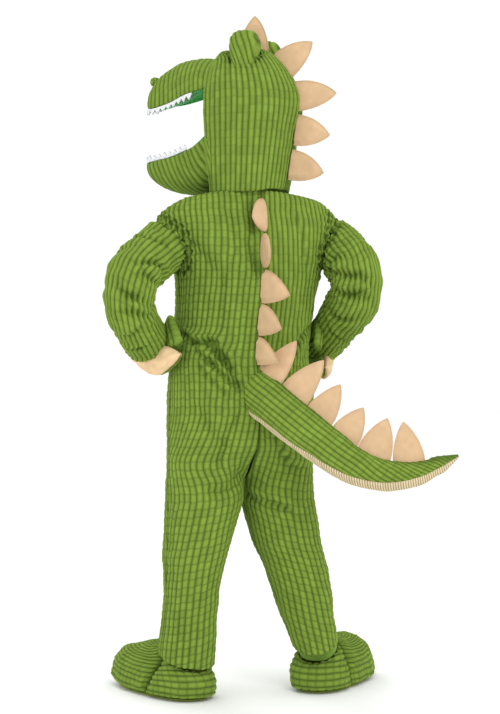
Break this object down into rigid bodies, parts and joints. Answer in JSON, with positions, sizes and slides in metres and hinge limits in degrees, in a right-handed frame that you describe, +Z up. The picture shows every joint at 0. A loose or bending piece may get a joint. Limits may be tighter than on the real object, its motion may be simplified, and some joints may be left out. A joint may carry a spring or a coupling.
{
  "type": "costume",
  "caption": "Child's one-piece plush alligator costume in its worn, hollow form, with sleeves, mitts, an open-jawed hood, a spiked back, a stuffed curving tail and shoe covers.",
  "frame": {"origin": "centre of the jumpsuit's neck opening, where the wearer's shoulders and neck hold it", "axes": "+Z up along the standing wearer, +X towards the wearer's left, -Y the way the jumpsuit's front faces"},
  "size_m": [0.5464, 0.4483, 1.129],
  "materials": {
    "plush_green": "waffle plush, matt",
    "band_green": "knitted binding, matt",
    "felt_tan": "felt, matt",
    "palm_tan": "brushed fleece, matt",
    "rib_cream": "cross-ribbed plush, matt",
    "lining_green": "satin lining",
    "felt_white": "felt, matt",
    "pupil_black": "felt, matt",
    "sole_green": "fabric sole with grip dots, matt"
  },
  "bodies": {
    "root": {"back_left": "plush_green", "front_left": "plush_green", "sleeve_left": "plush_green", "mitt_back_left": "plush_green", "mitt_thumb_left": "plush_green", "shoe_toe_left": "plush_green", "shoe_heel_left": "plush_green", "tail_side_left": "plush_green", "hood_left": "plush_green", "eye_lobe_left": "plush_green", "nostril_left": "plush_green", "shoe_band_left": "band_green", "mitt_palm_left": "palm_tan", "shoe_sole_left": "sole_green", "eye_white_left": "felt_white", "eye_pupil_left": "pupil_black", "back_right": "plush_green", "front_right": "plush_green", "sleeve_right": "plush_green", "mitt_back_right": "plush_green", "mitt_thumb_right": "plush_green", "shoe_toe_right": "plush_green", "shoe_heel_right": "plush_green", "tail_side_right": "plush_green", "hood_right": "plush_green", "eye_lobe_right": "plush_green", "nostril_right": "plush_green", "shoe_band_right": "band_green", "mitt_palm_right": "palm_tan", "shoe_sole_right": "sole_green", "eye_white_right": "felt_white", "eye_pupil_right": "pupil_black", "front_placket": "plush_green", "upper_jaw": "plush_green", "lower_jaw": "plush_green", "tail_underside": "rib_cream", "upper_jaw_lining": "lining_green", "lower_jaw_lining": "lining_green", "upper_teeth": "felt_white", "lower_teeth": "felt_white", "spine_spike_1": "felt_tan", "hood_spike_1": "felt_tan", "spine_spike_2": "felt_tan", "hood_spike_2": "felt_tan", "spine_spike_3": "felt_tan", "hood_spike_3": "felt_tan", "spine_spike_4": "felt_tan", "hood_spike_4": "felt_tan", "spine_spike_5": "felt_tan", "hood_spike_5": "felt_tan", "tail_spike_1": "felt_tan", "tail_spike_2": "felt_tan", "tail_spike_3": "felt_tan", "tail_spike_4": "felt_tan", "tail_spike_5": "felt_tan", "tail_spike_6": "felt_tan"}
  },
  "joints": []
}
